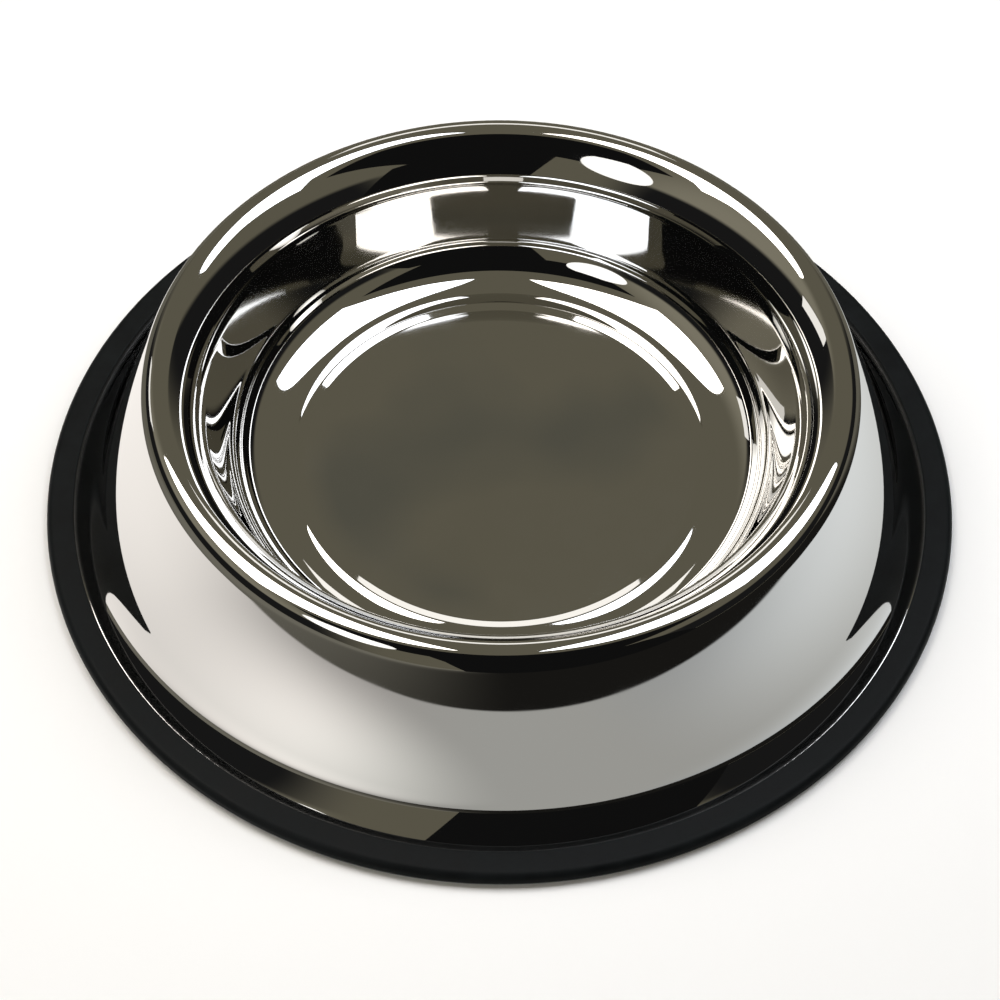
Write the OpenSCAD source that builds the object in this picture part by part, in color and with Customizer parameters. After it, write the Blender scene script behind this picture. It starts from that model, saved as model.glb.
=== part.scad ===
// A pressed steel bowl that can't be tipped over, with a rubber ring round its foot.
// The axis of the bowl is Z, and the ring stands on the plane z = 0.

/* [Overall] */
// Diameter of the rubber ring, the widest part
base_d = 210; // [200:1:240]
// Height of the rim above the table
bowl_h = 43; // [38:0.1:56]
// Thickness of the steel sheet
sheet_t = 0.5; // [0.3:0.05:1]

/* [Rim] */
// Diameter of the rim, measured at its crest
rim_d = 149.4; // [140:0.2:160]
// Radius of the crest
crest_r = 4; // [2:0.1:5.5]
// Radius of the shoulder between the crest and the wall
wall_shoulder_r = 20; // [14:0.5:21]
// Slope at which the crest gives way to that shoulder, in degrees
wall_side_slope = 39; // [25:1:55]
// Radius of the shoulder between the crest and the skirt
skirt_shoulder_r = 8; // [4:0.5:14]
// Slope at which the crest gives way to that shoulder, in degrees
skirt_side_slope = 51; // [30:1:56]

/* [Floor] */
// Height of the floor above the table
floor_h = 9; // [6:0.1:14]
// Diameter of the flat disc in the middle of the floor
disc_d = 91; // [80:0.5:94]
// Width of the sloping step round the disc
step_w = 1.6; // [0.8:0.1:2.5]
// Slope of that step, in degrees
step_slope = 13; // [5:1:25]
// Radius of both bends of the step
step_bend_r = 1.5; // [0.5:0.1:3]
// Slope that falls from the ridge of the step to the wall, in degrees
ridge_slope = 8; // [2:1:12]
// Radius of the bend between the floor and the wall
wall_foot_r = 12.5; // [8:0.5:14]

/* [Foot] */
// Radius of the flare at the bottom of the skirt
flare_r = 26; // [10:0.5:40]
// Slope at which the flare gives way to the bend of the edge, in degrees
flare_end_slope = 42; // [30:1:56]
// Radius of the bend between the flare and the flat edge
edge_bend_r = 1.5; // [1:0.1:4]
// Width of the flat edge, which the rubber ring grips
edge_w = 3.9; // [3.8:0.1:6]

/* [Rubber ring] */
// Height of the ring
ring_h = 3.8; // [3.7:0.1:6]
// Depth to which the ring grips the steel
grip_w = 3.8; // [2:0.1:3.9]
// Rubber outside the edge of the steel
ring_wall = 2.6; // [2.2:0.1:5]
// Rubber under the steel
ring_sole = 1.1; // [0.8:0.1:2.4]
// Distance that the sole reaches in past the upper lip
sole_reach = 1; // [0:0.1:2]
// Radius of the outer edge of the ring
ring_round_r = 1.8; // [0.5:0.1:1.8]
// Radius of the inner edges of the ring
lip_round_r = 0.4; // [0.1:0.05:0.5]
// Play of the steel in the groove of the ring
groove_play = 0.1; // [0.05:0.05:0.3]

/* [Hidden] */
// Facets round the axis
$fn = 180;
// Largest turn between two points of a bend, in degrees
bend_step = 5;
// Share of a limit that bends and slopes keep to
margin = 0.95;
// Length by which a cut runs past what it cuts
overrun = 1;

edge_r = base_d / 2 - ring_wall;
edge_z = ring_sole + groove_play + sheet_t;
rim_top = [rim_d / 2, bowl_h];

// A point on the upper face of the sheet goes outwards at a heading, in degrees above level.
// side() points square to that heading, towards the underside.
function along(heading) = [cos(heading), sin(heading)];
function side(heading) = [sin(heading), -cos(heading)];

// A bend is [centre, radius, heading where it starts, heading where it ends].
// Its radius belongs to the upper face, and is positive where the sheet curls upwards.
function bend_after(b, run, radius, heading) =
    [b[0] + (b[1] - radius) * side(b[3]) + run * along(b[3]), radius, b[3], heading];
function bend_before(b, run, radius, heading) =
    [b[0] - (radius - b[1]) * side(b[2]) - run * along(b[2]), radius, heading, b[2]];

// The points where a bend starts and ends
function bend_start(b) = b[0] + b[1] * side(b[2]);
function bend_end(b) = b[0] + b[1] * side(b[3]);

// Heading of the straight sheet that touches two bends
function common_heading(from, to) =
    let (gap = to[0] - from[0], offset = from[1] - to[1])
    atan2(gap.y, gap.x) + asin(offset / norm(gap));

// Share of their full radii that two bends keep, so that a wall between them leans no further than upright.
// Each bend is [radius, slope where it starts or ends], and room is the width that the wall spans.
function fitting(room, low, high) =
    min(1, margin * room / (low[0] * (1 - sin(low[1])) + high[0] * (1 - sin(high[1]))));
function fitted(radius, share) = max(sheet_t, radius * share);

function bend_points(b, depth) =
    let (steps = max(1, ceil(abs(b[3] - b[2]) / bend_step)))
    [for (i = [0 : steps]) b[0] + (b[1] + depth) * side(b[2] + (b[3] - b[2]) * i / steps)];

// The floor, from the middle outwards
step_low = [[disc_d / 2, floor_h + step_bend_r], step_bend_r, 0, step_slope];
step_high = bend_after(step_low, step_w, -step_bend_r, -ridge_slope);

// The rim's crest, and the bend between the flare and the flat edge.
// Both end less steep than the line from the rim to the edge, so that the skirt between them is steeper.
rim_to_edge = [edge_r - edge_w, edge_z] - rim_top;
steepest = margin * atan2(-rim_to_edge.y, rim_to_edge.x);
crest = [rim_top - [0, crest_r], -crest_r, wall_side_slope, -min(skirt_side_slope, steepest)];
edge_bend = [[edge_r - edge_w, edge_z + edge_bend_r], edge_bend_r, -min(flare_end_slope, steepest), 0];

// Both bends of the wall, and both of the skirt, shrink where the rim stands too close to floor or foot
wall_share = fitting(bend_start(crest).x - bend_end(step_high).x,
    [wall_foot_r, -ridge_slope], [wall_shoulder_r, wall_side_slope]);
skirt_share = fitting(bend_start(edge_bend).x - bend_end(crest).x,
    [flare_r, -edge_bend[2]], [skirt_shoulder_r, -crest[3]]);
foot_start = bend_after(step_high, 0, fitted(wall_foot_r, wall_share), 0);
shoulder_in = bend_before(crest, 0, -fitted(wall_shoulder_r, wall_share), 0);
shoulder_out = bend_after(crest, 0, -fitted(skirt_shoulder_r, skirt_share), 0);
flare = bend_before(edge_bend, 0, fitted(flare_r, skirt_share), 0);

// The straight wall and the straight skirt join what lies on both sides of them
wall_heading = common_heading(foot_start, shoulder_in);
skirt_heading = common_heading(shoulder_out, flare);

bends = [
    step_low,
    step_high,
    [foot_start[0], foot_start[1], foot_start[2], wall_heading],
    [shoulder_in[0], shoulder_in[1], wall_heading, shoulder_in[3]],
    crest,
    [shoulder_out[0], shoulder_out[1], shoulder_out[2], skirt_heading],
    [flare[0], flare[1], skirt_heading, flare[3]],
    edge_bend
];

// One face of the sheet, from the axis to the edge, at a depth below the upper face
function sheet_face(depth) = concat(
    [[0, floor_h - depth]],
    [for (b = bends) each bend_points(b, depth)],
    [[edge_r, edge_z - depth]]
);

function reversed(points) = [for (i = [len(points) - 1 : -1 : 0]) points[i]];

// Points of a rounded corner, from the first angle to the second
function corner(centre, radius, from, to) =
    let (steps = max(1, ceil(abs(to - from) / (2 * bend_step))))
    [for (i = [0 : steps]) let (a = from + (to - from) * i / steps)
        centre + radius * [cos(a), sin(a)]];

// One sheet of stainless steel: the floor, the wall, the rolled rim, the flaring skirt and its flat edge
module bowl_shell() {
    color("silver")
        rotate_extrude()
            polygon(concat(sheet_face(0), reversed(sheet_face(sheet_t))));
}

// Section of the ring, without its groove
module ring_section() {
    lip_r = edge_r - grip_w;
    sole_r = lip_r - sole_reach;
    round_x = base_d / 2 - ring_round_r;
    polygon(concat(
        [[sole_r, 0]],
        corner([round_x, ring_round_r], ring_round_r, -90, 0),
        corner([round_x, ring_h - ring_round_r], ring_round_r, 0, 90),
        corner([lip_r + lip_round_r, ring_h - lip_round_r], lip_round_r, 90, 180),
        [[lip_r, ring_sole]],
        corner([sole_r + lip_round_r, ring_sole - lip_round_r], lip_round_r, 90, 180)
    ));
}

// The rubber ring, whose groove grips the flat edge of the steel
module rubber_ring() {
    groove_r = edge_r - grip_w - sole_reach - overrun;
    color("#26292a")
        rotate_extrude()
            difference() {
                ring_section();
                translate([groove_r, ring_sole])
                    square([edge_r + groove_play - groove_r, sheet_t + 2 * groove_play]);
            }
}

bowl_shell();
rubber_ring();
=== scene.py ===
import math

import bpy
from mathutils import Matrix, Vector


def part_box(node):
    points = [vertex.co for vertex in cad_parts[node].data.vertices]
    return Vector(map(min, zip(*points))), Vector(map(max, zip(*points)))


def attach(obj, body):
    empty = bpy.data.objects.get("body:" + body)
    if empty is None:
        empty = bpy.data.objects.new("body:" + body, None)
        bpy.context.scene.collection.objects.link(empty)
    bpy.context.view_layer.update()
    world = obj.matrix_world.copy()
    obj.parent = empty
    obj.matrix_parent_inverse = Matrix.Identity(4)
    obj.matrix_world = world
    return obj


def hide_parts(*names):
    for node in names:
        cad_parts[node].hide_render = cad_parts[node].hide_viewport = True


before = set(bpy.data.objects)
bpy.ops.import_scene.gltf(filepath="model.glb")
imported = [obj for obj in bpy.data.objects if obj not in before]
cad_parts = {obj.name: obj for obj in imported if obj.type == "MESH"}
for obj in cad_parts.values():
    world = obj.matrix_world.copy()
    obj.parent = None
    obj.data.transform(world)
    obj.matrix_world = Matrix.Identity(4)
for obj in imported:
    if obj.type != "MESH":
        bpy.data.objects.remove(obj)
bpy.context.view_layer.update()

# The bowl is one sheet of stainless steel, 0.5 mm thick, pressed, trimmed and polished.
# Its floor, wall, rim, skirt and flat edge are one section, drawn as a bending line and turned
# round the axis. The line is the face that a dog sees, and the sheet lies behind it.
MM = 0.001
BASE_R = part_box("rubber_ring")[1].x
SHEET_T = 0.5 * MM
BOWL_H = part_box("bowl_shell")[1].z
RIM_R = 74.7 * MM
CREST_R = 4 * MM
WALL_SHOULDER_R = 20 * MM
WALL_SIDE_SLOPE = 39
SKIRT_SHOULDER_R = 8 * MM
SKIRT_SIDE_SLOPE = 51
FLOOR_H = 9 * MM
DISC_R = 45.5 * MM
STEP_W = 1.6 * MM
STEP_SLOPE = 13
STEP_BEND_R = 1.5 * MM
RIDGE_SLOPE = 8
WALL_FOOT_R = 12.5 * MM
FLARE_R = 26 * MM
FLARE_END_SLOPE = 42
EDGE_BEND_R = 1.5 * MM
EDGE_W = 3.9 * MM
STEEL_EDGE_R = 102.4 * MM
STEEL_EDGE_Z = 1.7 * MM
END_FACET_W = 0.4 * MM
TURN_PER_FACET = 2
FACETS_ROUND = 256
WELD_W = 0.002 * MM
STEEL_SMOOTH_UP_TO = math.radians(40)


def start_line(name, x, z):
    """A new mesh of one point, selected, in edit mode."""
    bpy.ops.object.select_all(action="DESELECT")
    bpy.ops.mesh.primitive_plane_add(size=MM, location=(x, 0, z))
    piece = bpy.context.object
    piece.name = piece.data.name = name
    bpy.ops.object.transform_apply(location=True, rotation=False, scale=False)
    bpy.ops.object.mode_set(mode="EDIT")
    bpy.ops.mesh.merge(type="CENTER")
    return piece


def straight(run, heading, ends=END_FACET_W):
    """Draws the line on, with a point close to each end, so that a mirror finish stays flat between them."""
    way = (math.cos(math.radians(heading)), 0, math.sin(math.radians(heading)))
    for part in (ends, run - 2 * ends, ends) if run > 3 * ends else (run,):
        step = {"value": [part * w for w in way]}
        bpy.ops.mesh.extrude_vertices_move(TRANSFORM_OT_translate=step)


def line_end(piece):
    """The selected point at the end of the line."""
    piece.update_from_editmode()
    return next(v.co.copy() for v in piece.data.vertices if v.select)


def bend(piece, radius, heading, new_heading, turn_per_facet=TURN_PER_FACET):
    """Bends the line from one heading to another, by at most so many degrees from facet to facet."""
    turn = math.radians(new_heading - heading)
    left = math.radians(heading) + math.copysign(math.pi / 2, turn)
    end = line_end(piece)
    centre = (end.x + radius * math.cos(left), 0, end.z + radius * math.sin(left))
    steps = max(2, math.ceil(abs(new_heading - heading) / turn_per_facet))
    bpy.ops.mesh.spin(steps=steps, angle=turn, center=centre, axis=(0, 1, 0))


def turn_round(piece):
    """Turns the line round the axis and closes the seam and the pole."""
    bpy.ops.mesh.select_all(action="SELECT")
    bpy.ops.mesh.spin(steps=FACETS_ROUND, angle=math.tau, center=(0, 0, 0), axis=(0, 0, 1))
    bpy.ops.mesh.select_all(action="SELECT")
    bpy.ops.mesh.remove_doubles(threshold=WELD_W)
    bpy.ops.mesh.normals_make_consistent(inside=False)
    bpy.ops.object.mode_set(mode="OBJECT")


def off(point, distance, heading):
    """A point moved square to a heading, to the left for a positive distance."""
    side = math.radians(heading) + math.pi / 2
    return (point[0] + distance * math.cos(side), point[1] + distance * math.sin(side))


def joining_run(first, first_r, second, second_r):
    """Heading and length of the straight line between two bends, whose radii are positive where they turn left."""
    across, up = second[0] - first[0], second[1] - first[1]
    offset = first_r - second_r
    heading = math.atan2(up, across) + math.asin(offset / math.hypot(across, up))
    return math.degrees(heading), math.sqrt(across ** 2 + up ** 2 - offset ** 2)


crest = (RIM_R, BOWL_H - CREST_R)
wall_shoulder = off(crest, CREST_R - WALL_SHOULDER_R, WALL_SIDE_SLOPE)
skirt_shoulder = off(crest, CREST_R - SKIRT_SHOULDER_R, -SKIRT_SIDE_SLOPE)
edge_bend = (STEEL_EDGE_R - EDGE_W, STEEL_EDGE_Z + EDGE_BEND_R)
flare = off(edge_bend, FLARE_R - EDGE_BEND_R, -FLARE_END_SLOPE)

bowl = start_line("bowl_shell_polished", 0, FLOOR_H)
straight(DISC_R, 0)
bend(bowl, STEP_BEND_R, 0, STEP_SLOPE)
straight(STEP_W, STEP_SLOPE, ends=END_FACET_W / 2)
bend(bowl, STEP_BEND_R, STEP_SLOPE, -RIDGE_SLOPE)
floor_end = line_end(bowl)
wall_foot = off((floor_end.x, floor_end.z), WALL_FOOT_R, -RIDGE_SLOPE)
wall_slope, wall_run = joining_run(wall_foot, WALL_FOOT_R, wall_shoulder, -WALL_SHOULDER_R)
bend(bowl, WALL_FOOT_R, -RIDGE_SLOPE, wall_slope)
straight(wall_run, wall_slope)
bend(bowl, WALL_SHOULDER_R, wall_slope, WALL_SIDE_SLOPE)
bend(bowl, CREST_R, WALL_SIDE_SLOPE, -SKIRT_SIDE_SLOPE)
skirt_heading, skirt_run = joining_run(skirt_shoulder, -SKIRT_SHOULDER_R, flare, FLARE_R)
bend(bowl, SKIRT_SHOULDER_R, -SKIRT_SIDE_SLOPE, skirt_heading)
straight(skirt_run, skirt_heading)
bend(bowl, FLARE_R, skirt_heading, -FLARE_END_SLOPE)
bend(bowl, EDGE_BEND_R, -FLARE_END_SLOPE, 0)
straight(EDGE_W, 0)
turn_round(bowl)
# The middle of the floor has to face upwards, because the sheet's thickness goes behind that face
if min(bowl.data.polygons, key=lambda face: face.center.xy.length).normal.z < 0:
    bowl.data.flip_normals()


def linear(hex_colour):
    """An sRGB hex value as linear red, green and blue, with an alpha of 1."""
    channels = [int(hex_colour[i:i + 2], 16) / 255 for i in (1, 3, 5)]
    return [c / 12.92 if c <= 0.04045 else ((c + 0.055) / 1.055) ** 2.4 for c in channels] + [1.0]


def new_material(name):
    """A material with only a shader, and that shader."""
    material = bpy.data.materials.new(name)
    material.use_nodes = True
    return material, material.node_tree.nodes["Principled BSDF"]


def add_node(tree, kind, inputs=None, **settings):
    """Adds a node with its settings, and sets or links its inputs."""
    node = tree.nodes.new(kind)
    for setting, value in settings.items():
        setattr(node, setting, value)
    for socket, value in (inputs or {}).items():
        if isinstance(value, bpy.types.NodeSocket):
            tree.links.new(value, node.inputs[socket])
        else:
            node.inputs[socket].default_value = value
    return node


# Stainless steel, pressed and mirror-polished: it shows the place round it almost sharply. Faint smudges
# blur that a little, the sheet swells and dips by hundredths of a millimetre, as pressing leaves it,
# and thin clouds from use lie on the disc of the floor, which is a touch less sharp.
POLISHED = "#d4d3d1"
CLOUDED = "#bfc2c6"
SMUDGE_W = 16 * MM
CLOUD_W = 45 * MM
WAVE_W = 28 * MM
WAVE_H = 0.02 * MM
WALL_ROUGHNESS = (0.012, 0.035)
DISC_ROUGHNESS = (0.03, 0.07)
DISC_EDGE_W = 1 * MM
CLOUD_EDGE_W = 6 * MM

polished, shader = new_material("polished_stainless_steel")
shader.inputs["Metallic"].default_value = 1
tree = polished.node_tree
place = add_node(tree, "ShaderNodeTexCoord").outputs["Object"]
level = add_node(tree, "ShaderNodeVectorMath", {0: place, 1: (1, 1, 0)}, operation="MULTIPLY")
from_axis = add_node(tree, "ShaderNodeVectorMath", {0: level.outputs[0]}, operation="LENGTH").outputs["Value"]

smudges = add_node(tree, "ShaderNodeTexNoise", {
    "Vector": place, "Scale": 1 / SMUDGE_W, "Detail": 4, "Roughness": 0.6})
wall_haze = add_node(tree, "ShaderNodeMapRange", {
    "Value": smudges.outputs["Fac"], "From Min": 0.4, "From Max": 0.75,
    "To Min": WALL_ROUGHNESS[0], "To Max": WALL_ROUGHNESS[1]})
disc_haze = add_node(tree, "ShaderNodeMapRange", {
    "Value": smudges.outputs["Fac"], "From Min": 0.35, "From Max": 0.7,
    "To Min": DISC_ROUGHNESS[0], "To Max": DISC_ROUGHNESS[1]})
off_disc = add_node(tree, "ShaderNodeMapRange", {
    "Value": from_axis, "From Min": DISC_R - DISC_EDGE_W / 2, "From Max": DISC_R + DISC_EDGE_W / 2})
haze = add_node(tree, "ShaderNodeMix", {
    "Factor": off_disc.outputs["Result"], "A": disc_haze.outputs["Result"], "B": wall_haze.outputs["Result"]})
tree.links.new(haze.outputs["Result"], shader.inputs["Roughness"])

clouds = add_node(tree, "ShaderNodeTexNoise", {
    "Vector": place, "Scale": 1 / CLOUD_W, "Detail": 2, "Roughness": 0.4})
cloud = add_node(tree, "ShaderNodeMapRange", {
    "Value": clouds.outputs["Fac"], "From Min": 0.55, "From Max": 0.35})
on_disc = add_node(tree, "ShaderNodeMapRange", {
    "Value": from_axis, "From Min": DISC_R, "From Max": DISC_R - CLOUD_EDGE_W})
disc_cloud = add_node(tree, "ShaderNodeMath", {
    0: cloud.outputs["Result"], 1: on_disc.outputs["Result"]}, operation="MULTIPLY")
tone = add_node(tree, "ShaderNodeMix", {
    "Factor": disc_cloud.outputs[0], "A": linear(POLISHED), "B": linear(CLOUDED)}, data_type="RGBA")
tree.links.new(tone.outputs["Result"], shader.inputs["Base Color"])

waves = add_node(tree, "ShaderNodeTexNoise", {"Vector": place, "Scale": 1 / WAVE_W, "Detail": 1})
swell = add_node(tree, "ShaderNodeBump", {"Height": waves.outputs["Fac"], "Strength": 1, "Distance": WAVE_H})
tree.links.new(swell.outputs["Normal"], shader.inputs["Normal"])

# Stainless steel with the dull grey finish that it has from the rolling mill, which the underside keeps:
# it blurs what it mirrors. Its grain is drawn coarser than the real one, so that it shows.
MILL_GREY = "#c4c2bc"
MILL_GRAIN_W = 1.2 * MM
MILL_ROUGHNESS = (0.24, 0.36)

mill, shader = new_material("mill_finish_stainless_steel")
shader.inputs["Base Color"].default_value = linear(MILL_GREY)
shader.inputs["Metallic"].default_value = 1
tree = mill.node_tree
place = add_node(tree, "ShaderNodeTexCoord").outputs["Object"]
grain = add_node(tree, "ShaderNodeTexNoise", {
    "Vector": place, "Scale": 1 / MILL_GRAIN_W, "Detail": 5, "Roughness": 0.7})
dull = add_node(tree, "ShaderNodeMapRange", {
    "Value": grain.outputs["Fac"], "From Min": 0.3, "From Max": 0.7,
    "To Min": MILL_ROUGHNESS[0], "To Max": MILL_ROUGHNESS[1]})
tree.links.new(dull.outputs["Result"], shader.inputs["Roughness"])

# The sheet gets its thickness once both finishes are on, so that its underside takes the second
bowl.data.materials.append(polished)
bowl.data.materials.append(mill)
sheet = bowl.modifiers.new("sheet", "SOLIDIFY")
sheet.thickness = SHEET_T
sheet.offset = -1
sheet.use_even_offset = True
sheet.material_offset = 1
bpy.ops.object.modifier_apply(modifier="sheet")
bpy.ops.object.shade_smooth_by_angle(angle=STEEL_SMOOTH_UP_TO)
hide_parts("bowl_shell")
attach(bowl, "root")

# The ring is moulded from black rubber in one piece. Its groove grips the flat edge of the steel,
# and its sole keeps the bowl from sliding. A fine line runs round it where the mould parted.
RING_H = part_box("rubber_ring")[1].z
RING_ROUND_R = 1.8 * MM
LIP_ROUND_R = 0.4 * MM
GRIP_W = 3.8 * MM
SOLE_REACH = 1 * MM
GROOVE_PLAY = 0.1 * MM
LIP_R = STEEL_EDGE_R - GRIP_W
SOLE_R = LIP_R - SOLE_REACH
SOLE_H = 1.1 * MM
GROOVE_R = STEEL_EDGE_R + GROOVE_PLAY
GROOVE_H = SHEET_T + 2 * GROOVE_PLAY
PARTING_W = 0.2 * MM
PARTING_D = 0.06 * MM
PARTING_RUN = math.hypot(PARTING_D, PARTING_W / 2)
PARTING_SLOPE = math.degrees(math.atan2(PARTING_W / 2, PARTING_D))
FINE_END_W = 0.1 * MM
ROUND_TURN = 12
LIP_TURN = 6
RUBBER_SMOOTH_UP_TO = math.radians(50)

side_run = (RING_H - 2 * RING_ROUND_R - PARTING_W) / 2
ring = start_line("rubber_ring_moulded", SOLE_R + LIP_ROUND_R, 0)
straight(BASE_R - PARTING_D - RING_ROUND_R - SOLE_R - LIP_ROUND_R, 0)
bend(ring, RING_ROUND_R, 0, 90, ROUND_TURN)
straight(side_run, 90)
straight(PARTING_RUN, PARTING_SLOPE)
straight(PARTING_RUN, 180 - PARTING_SLOPE)
straight(side_run, 90)
bend(ring, RING_ROUND_R, 90, 180, ROUND_TURN)
straight(BASE_R - PARTING_D - RING_ROUND_R - LIP_R - LIP_ROUND_R, 180)
bend(ring, LIP_ROUND_R, 180, 270, LIP_TURN)
straight(RING_H - LIP_ROUND_R - SOLE_H - GROOVE_H, 270, ends=FINE_END_W)
straight(GROOVE_R - LIP_R, 0, ends=FINE_END_W)
straight(GROOVE_H, 270, ends=FINE_END_W)
straight(GROOVE_R - SOLE_R - LIP_ROUND_R, 180, ends=FINE_END_W)
bend(ring, LIP_ROUND_R, 180, 270, LIP_TURN)
straight(SOLE_H - 2 * LIP_ROUND_R, 270, ends=FINE_END_W)
bend(ring, LIP_ROUND_R, 270, 360, LIP_TURN)
turn_round(ring)
bpy.ops.object.shade_smooth_by_angle(angle=RUBBER_SMOOTH_UP_TO)

# Moulded black rubber is matt and nearly black, with patches of pale bloom that comes to its surface.
# Its pores break up what little shine it has. They are drawn coarser than the real ones, so that they show.
RUBBER = "#0c0e0f"
RUBBER_BLOOM = "#131617"
BLOOM_W = 9 * MM
PORE_W = 0.4 * MM
PORE_D = 0.02 * MM
RUBBER_ROUGHNESS = (0.42, 0.56)
RUBBER_SPECULAR = 0.08

rubber, shader = new_material("moulded_black_rubber")
shader.inputs["Specular IOR Level"].default_value = RUBBER_SPECULAR
tree = rubber.node_tree
place = add_node(tree, "ShaderNodeTexCoord").outputs["Object"]
patches = add_node(tree, "ShaderNodeTexNoise", {
    "Vector": place, "Scale": 1 / BLOOM_W, "Detail": 5, "Roughness": 0.65})
bloom = add_node(tree, "ShaderNodeMapRange", {
    "Value": patches.outputs["Fac"], "From Min": 0.35, "From Max": 0.7})
shade = add_node(tree, "ShaderNodeMix", {
    "Factor": bloom.outputs["Result"], "A": linear(RUBBER), "B": linear(RUBBER_BLOOM)}, data_type="RGBA")
tree.links.new(shade.outputs["Result"], shader.inputs["Base Color"])
sheen = add_node(tree, "ShaderNodeMapRange", {
    "Value": patches.outputs["Fac"], "From Min": 0.3, "From Max": 0.7,
    "To Min": RUBBER_ROUGHNESS[0], "To Max": RUBBER_ROUGHNESS[1]})
tree.links.new(sheen.outputs["Result"], shader.inputs["Roughness"])
skin = add_node(tree, "ShaderNodeTexNoise", {"Vector": place, "Scale": 1 / PORE_W, "Detail": 2})
pores = add_node(tree, "ShaderNodeBump", {"Height": skin.outputs["Fac"], "Strength": 0.6, "Distance": PORE_D})
tree.links.new(pores.outputs["Normal"], shader.inputs["Normal"])
ring.data.materials.append(rubber)
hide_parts("rubber_ring")
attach(ring, "root")

# The bowl stands on a wide and level floor, painted white. The paint is quite matt,
# so that it shows the soft shadow of the bowl and no image of it.
FLOOR_R = 12
FLOOR_FACETS = 96
FLOOR_WHITE = "#fbfbfb"

bpy.ops.object.select_all(action="DESELECT")
bpy.ops.mesh.primitive_circle_add(vertices=FLOOR_FACETS, radius=FLOOR_R, fill_type="NGON", location=(0, 0, 0))
floor = bpy.context.object
floor.name = "floor"
paint, shader = new_material("white_floor")
shader.inputs["Base Color"].default_value = linear(FLOOR_WHITE)
shader.inputs["Roughness"].default_value = 0.9
shader.inputs["Specular IOR Level"].default_value = 0.1
floor.data.materials.append(paint)

# Two panels of white diffusing cloth overhead light the bowl and the floor softly. Polished steel shows
# whatever stands round it, so small white cards stand behind it and on its left, and black cloth hangs
# behind and over the camera. The cards and the cloth are no lamps: they glow with painted light, as bright
# as the light falling on them would make them. Only the steel shows all these. Corners are in metres from the foot's
# middle.


def glowing(name, colour="#ffffff", radiance=1):
    """A material that gives light and mirrors none."""
    material, unused = new_material(name)
    tree = material.node_tree
    tree.nodes.remove(unused)
    lamp = add_node(tree, "ShaderNodeEmission", {"Color": linear(colour), "Strength": radiance})
    tree.links.new(lamp.outputs[0], tree.nodes["Material Output"].inputs["Surface"])
    return material


def hang(name, corners, material, lights_the_floor=False):
    """A flat four-sided sheet, given by its corners in order, which the camera doesn't see."""
    bpy.ops.mesh.primitive_plane_add(size=1)
    item = bpy.context.object
    item.name = name
    for vertex, corner in zip((0, 1, 3, 2), corners):
        item.data.vertices[vertex].co = corner
    item.data.materials.append(material)
    item.visible_camera = False
    item.visible_shadow = item.visible_diffuse = lights_the_floor


hang("left_panel", [(-0.10, 0.53, 0.9), (-0.62, 0.36, 0.64), (-0.60, -0.14, 0.68), (-0.07, -0.04, 0.9)],
     glowing("left_diffuser", "#fffaf4", radiance=4.7), lights_the_floor=True)
hang("right_panel", [(0.07, -0.04, 0.9), (0.60, -0.13, 0.64), (0.70, 0.34, 0.60), (0.10, 0.53, 0.9)],
     glowing("right_diffuser", "#f6f9ff", radiance=4.3), lights_the_floor=True)
# The two cards glow with painted light, as bright as white card lit where they stand
hang("back_card", [(-0.12, 0.55, 0.28), (0.12, 0.55, 0.28), (0.12, 0.55, 0.42), (-0.12, 0.55, 0.42)],
     glowing("back_card", "#fbf8f2", radiance=1.5))
hang("left_card", [(-0.76, 0.37, 0.31), (-0.72, 0.35, 0.41), (-0.61, 0.52, 0.41), (-0.65, 0.54, 0.31)],
     glowing("left_card", "#fbf8f2", radiance=1.3))
# The black cloth glows faintly with painted light, as dim as black cloth lit where it hangs
black_cloth = glowing("black_cloth", "#141414")
hang("cloth_behind_camera", [(-0.1, -0.75, 0), (0.9, -0.75, 0), (0.6, -0.75, 0.6), (-0.25, -0.75, 0.6)], black_cloth)
hang("cloth_over_camera", [(-0.46, -0.2, 0.6), (-0.46, -0.75, 0.6), (0.5, -0.75, 0.6), (0.5, -0.2, 0.6)], black_cloth)

# An oval lamp stands on the left of the camera and faces the bowl. Its white cloth is brightest
# in the middle, where the bulb is close behind it, and fades towards its rim.
LAMP_R = 0.165
LAMP_FACETS = 64
LAMP_MIDDLE_R = 0.05
LAMP_RADIANCE = (1.6, 4)

bpy.ops.mesh.primitive_circle_add(vertices=LAMP_FACETS, radius=LAMP_R, fill_type="NGON")
oval_lamp = bpy.context.object
oval_lamp.name = "oval_lamp"
oval_lamp.location = (-0.42, -0.49, 0.46)
oval_lamp.rotation_euler = (-oval_lamp.location).to_track_quat("Z", "Y").to_euler()
oval_lamp.scale = (0.9, 1.15, 1)
diffuser = glowing("oval_diffuser", "#fffdf9")
tree = diffuser.node_tree
place = add_node(tree, "ShaderNodeTexCoord").outputs["Object"]
from_bulb = add_node(tree, "ShaderNodeVectorMath", {0: place}, operation="LENGTH").outputs["Value"]
radiance = add_node(tree, "ShaderNodeMapRange", {
    "Value": from_bulb, "From Min": LAMP_R, "From Max": LAMP_MIDDLE_R,
    "To Min": LAMP_RADIANCE[0], "To Max": LAMP_RADIANCE[1]}, interpolation_type="SMOOTHSTEP")
tree.links.new(radiance.outputs["Result"], tree.nodes["Emission"].inputs["Strength"])
oval_lamp.data.materials.append(diffuser)
oval_lamp.visible_camera = False
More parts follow.
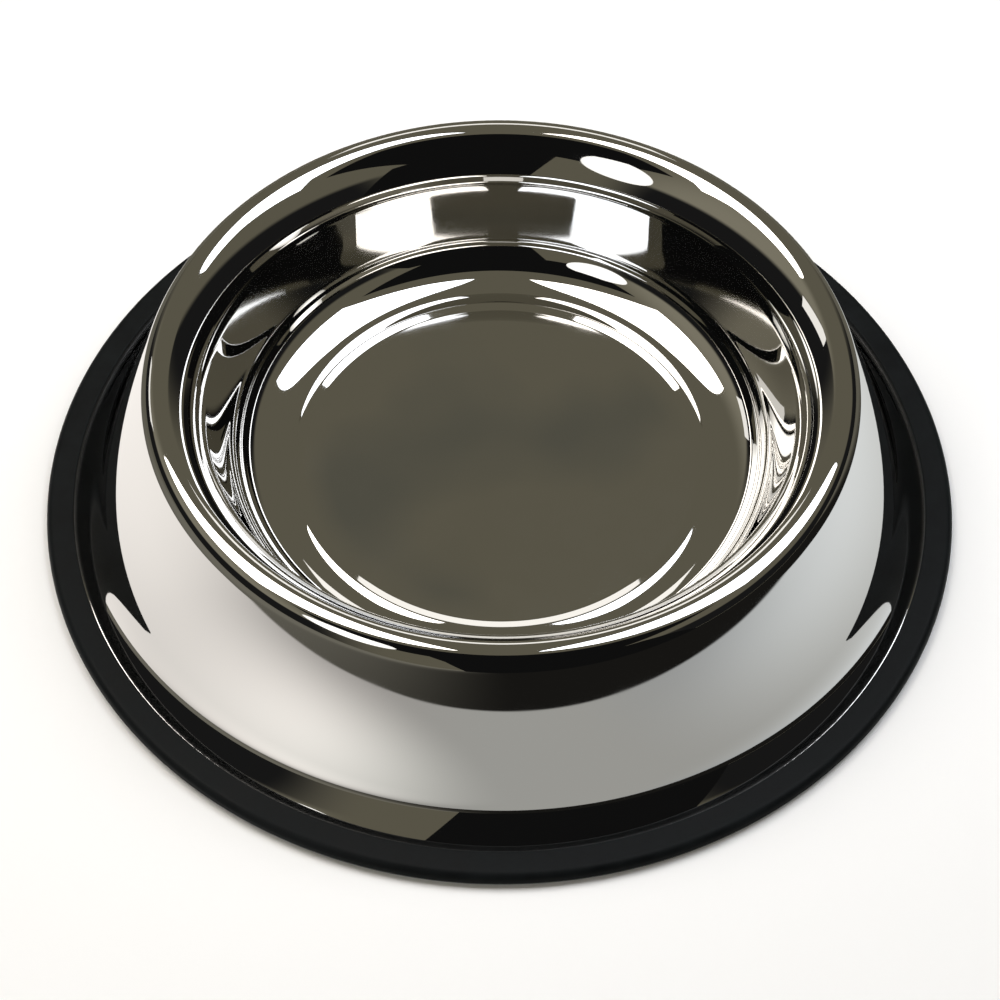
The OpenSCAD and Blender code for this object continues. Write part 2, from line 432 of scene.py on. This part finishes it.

# A round white card lies under the bowl, on dark cloth that is paler on the left and behind the bowl.
# Only the steel shows them: its skirt is pale with the card and dark with the cloth beyond it.
# Card and cloth glow by themselves, so all their light and shade is painted. The card's painted light
# is brighter at both sides, more so towards the back, and painted shade darkens its front. A painted
# reflection of the oval lamp lies on it at the front left. Its warm tint on the left and cool tint
# on the right are the painted colours of the two panels' light.
CARD_R = 0.163
CARD_CENTRE = (-0.004, -0.058, 0)
CARD_Z = 0.2 * MM
CARD_EDGE = (CARD_R - 1.5 * MM, CARD_R + 1 * MM)
CARD_BACK_EDGE = (0.065, 0.085)
LAMP_REFLECTION_CENTRE = (-0.078, -0.122, 0)
LAMP_REFLECTION_R = 0.085
LAMP_REFLECTION_RADIANCE = (0.47, 1.1)
LEFT_RADIANCE = 0.76
RIGHT_RADIANCE = 0.5
WARM_WHITE = "#fffaf5"
CREAM_WHITE = "#fffff9"
COOL_WHITE = "#fafeff"
CLOTH_DARK = "#1d1c1a"
CLOTH_LEFT = "#7c796e"
CLOTH_BEHIND = "#6c695d"

bpy.ops.mesh.primitive_circle_add(
    vertices=FLOOR_FACETS, radius=FLOOR_R / 4, fill_type="NGON", location=(0, 0, CARD_Z))
bpy.ops.object.transform_apply(location=True, rotation=False, scale=False)
round_card = bpy.context.object
round_card.name = "round_card"
card_on_cloth = glowing("card_on_cloth")
tree = card_on_cloth.node_tree
place = add_node(tree, "ShaderNodeTexCoord").outputs["Object"]
parts = add_node(tree, "ShaderNodeSeparateXYZ", {0: place})
x, y = parts.outputs["X"], parts.outputs["Y"]
from_middle = add_node(tree, "ShaderNodeVectorMath", {0: place, 1: CARD_CENTRE}, operation="DISTANCE")
from_lamp_reflection = add_node(tree, "ShaderNodeVectorMath", {0: place, 1: LAMP_REFLECTION_CENTRE}, operation="DISTANCE")

# Painted light and colours change along X and Y, between places given in metres
# Painted light: bright at both sides towards the back, painted shade towards the front
towards_back = add_node(tree, "ShaderNodeMapRange", {
    "Value": y, "From Min": -0.18, "From Max": 0}, interpolation_type="SMOOTHSTEP")
left_light = add_node(tree, "ShaderNodeMapRange", {
    "Value": x, "From Min": 0, "From Max": -0.13, "To Max": LEFT_RADIANCE}, interpolation_type="SMOOTHSTEP")
right_light = add_node(tree, "ShaderNodeMapRange", {
    "Value": x, "From Min": 0.06, "From Max": 0.14, "To Max": RIGHT_RADIANCE}, interpolation_type="SMOOTHSTEP")
side_light = add_node(tree, "ShaderNodeMath", {
    0: left_light.outputs["Result"], 1: right_light.outputs["Result"]}, operation="ADD")
# A painted reflection of the oval lamp, at the front left of the card
painted_lamp_reflection = add_node(tree, "ShaderNodeMapRange", {
    "Value": from_lamp_reflection.outputs["Value"], "From Min": LAMP_REFLECTION_R, "From Max": 0,
    "To Min": LAMP_REFLECTION_RADIANCE[0], "To Max": LAMP_REFLECTION_RADIANCE[1]}, interpolation_type="SMOOTHSTEP")
card_light = add_node(tree, "ShaderNodeMath", {
    0: side_light.outputs[0], 1: towards_back.outputs["Result"], 2: painted_lamp_reflection.outputs["Result"]}, operation="MULTIPLY_ADD")

# The painted light is warm on the left and cool on the right, the colours of the two panels
from_left = add_node(tree, "ShaderNodeMapRange", {
    "Value": x, "From Min": -0.12, "From Max": 0}, interpolation_type="SMOOTHSTEP")
left_light_tint = add_node(tree, "ShaderNodeMix", {
    "Factor": from_left.outputs["Result"], "A": linear(WARM_WHITE), "B": linear(CREAM_WHITE)}, data_type="RGBA")
to_right = add_node(tree, "ShaderNodeMapRange", {
    "Value": x, "From Min": 0.05, "From Max": 0.15}, interpolation_type="SMOOTHSTEP")
light_tint = add_node(tree, "ShaderNodeMix", {
    "Factor": to_right.outputs["Result"], "A": left_light_tint.outputs["Result"], "B": linear(COOL_WHITE)},
    data_type="RGBA")
card_painted_light = add_node(tree, "ShaderNodeVectorMath", {
    0: light_tint.outputs["Result"], "Scale": card_light.outputs[0]}, operation="SCALE")

to_left = add_node(tree, "ShaderNodeMapRange", {
    "Value": x, "From Min": 0.02, "From Max": -0.25}, interpolation_type="SMOOTHSTEP")
front_cloth = add_node(tree, "ShaderNodeMix", {
    "Factor": to_left.outputs["Result"], "A": linear(CLOTH_DARK), "B": linear(CLOTH_LEFT)}, data_type="RGBA")
behind = add_node(tree, "ShaderNodeMapRange", {
    "Value": y, "From Min": 0, "From Max": 0.08}, interpolation_type="SMOOTHSTEP")
cloth_colour = add_node(tree, "ShaderNodeMix", {
    "Factor": behind.outputs["Result"], "A": front_cloth.outputs["Result"], "B": linear(CLOTH_BEHIND)},
    data_type="RGBA")

past_round_edge = add_node(tree, "ShaderNodeMapRange", {
    "Value": from_middle.outputs["Value"], "From Min": CARD_EDGE[0], "From Max": CARD_EDGE[1]},
    interpolation_type="SMOOTHSTEP")
past_back_edge = add_node(tree, "ShaderNodeMapRange", {
    "Value": y, "From Min": CARD_BACK_EDGE[0], "From Max": CARD_BACK_EDGE[1]}, interpolation_type="SMOOTHSTEP")
on_cloth = add_node(tree, "ShaderNodeMath", {
    0: past_round_edge.outputs["Result"], 1: past_back_edge.outputs["Result"]}, operation="MAXIMUM")
shown = add_node(tree, "ShaderNodeMix", {
    "Factor": on_cloth.outputs[0], "A": card_painted_light.outputs[0], "B": cloth_colour.outputs["Result"]},
    data_type="RGBA")
tree.links.new(shown.outputs["Result"], tree.nodes["Emission"].inputs["Color"])
round_card.data.materials.append(card_on_cloth)
round_card.visible_camera = round_card.visible_shadow = round_card.visible_diffuse = False

# The room round it all is painted a dull olive grey, which is what the steel shows between the lamps.
# It is paler on the left, which is painted light falling there, and dark low down on both sides. X and Z are those of
# a direction of length 1.
ROOM = "#6a6657"
ROOM_LEFT = "#908b7a"
ROOM_LOW = "#1d1d1d"

world = bpy.data.worlds.new("room")
bpy.context.scene.world = world
world.use_nodes = True
tree = world.node_tree
way = add_node(tree, "ShaderNodeTexCoord").outputs["Generated"]
parts = add_node(tree, "ShaderNodeSeparateXYZ", {0: way})
# Painted light: the room is paler towards the left, where more light falls
leftwards = add_node(tree, "ShaderNodeMapRange", {
    "Value": parts.outputs["X"], "From Min": -0.45, "From Max": -0.85}, interpolation_type="SMOOTHSTEP")
room_lit_on_left = add_node(tree, "ShaderNodeMix", {
    "Factor": leftwards.outputs["Result"], "A": linear(ROOM), "B": linear(ROOM_LEFT)}, data_type="RGBA")
sideways = add_node(tree, "ShaderNodeMath", {0: parts.outputs["X"]}, operation="ABSOLUTE")
beside = add_node(tree, "ShaderNodeMapRange", {
    "Value": sideways.outputs[0], "From Min": 0.45, "From Max": 0.75}, interpolation_type="SMOOTHSTEP")
low_down = add_node(tree, "ShaderNodeMapRange", {
    "Value": parts.outputs["Z"], "From Min": 0.43, "From Max": 0.35}, interpolation_type="SMOOTHSTEP")
in_the_dark = add_node(tree, "ShaderNodeMath", {
    0: beside.outputs["Result"], 1: low_down.outputs["Result"]}, operation="MULTIPLY")
room_colour = add_node(tree, "ShaderNodeMix", {
    "Factor": in_the_dark.outputs[0], "A": room_lit_on_left.outputs["Result"], "B": linear(ROOM_LOW)}, data_type="RGBA")
tree.links.new(room_colour.outputs["Result"], tree.nodes["Background"].inputs["Color"])

# The camera stands half a metre from the bowl and looks down at it, at 52 degrees below level.
# It is turned by a fraction of a degree, and its picture is shifted so that the bowl stands in the middle.
DISTANCE = 492.87 * MM
LOOK_DOWN = math.radians(52.43)
ROLL = math.radians(0.62)
SENSOR_W_IN_MM = 36
LENS_IN_MM = 75.6
SHIFT_Y = -0.0196
NEAREST = 0.01

camera_data = bpy.data.cameras.new("camera")
camera_data.sensor_width = SENSOR_W_IN_MM
camera_data.lens = LENS_IN_MM
camera_data.shift_y = SHIFT_Y
camera_data.clip_start = NEAREST
camera = bpy.data.objects.new("camera", camera_data)
camera.location = (0, -DISTANCE * math.cos(LOOK_DOWN), DISTANCE * math.sin(LOOK_DOWN))
camera.rotation_euler = (math.pi / 2 - LOOK_DOWN, 0, 0)
camera.rotation_euler.rotate_axis("Z", ROLL)
bpy.context.scene.collection.objects.link(camera)
bpy.context.scene.camera = camera
bpy.context.scene.view_settings.view_transform = "Standard"
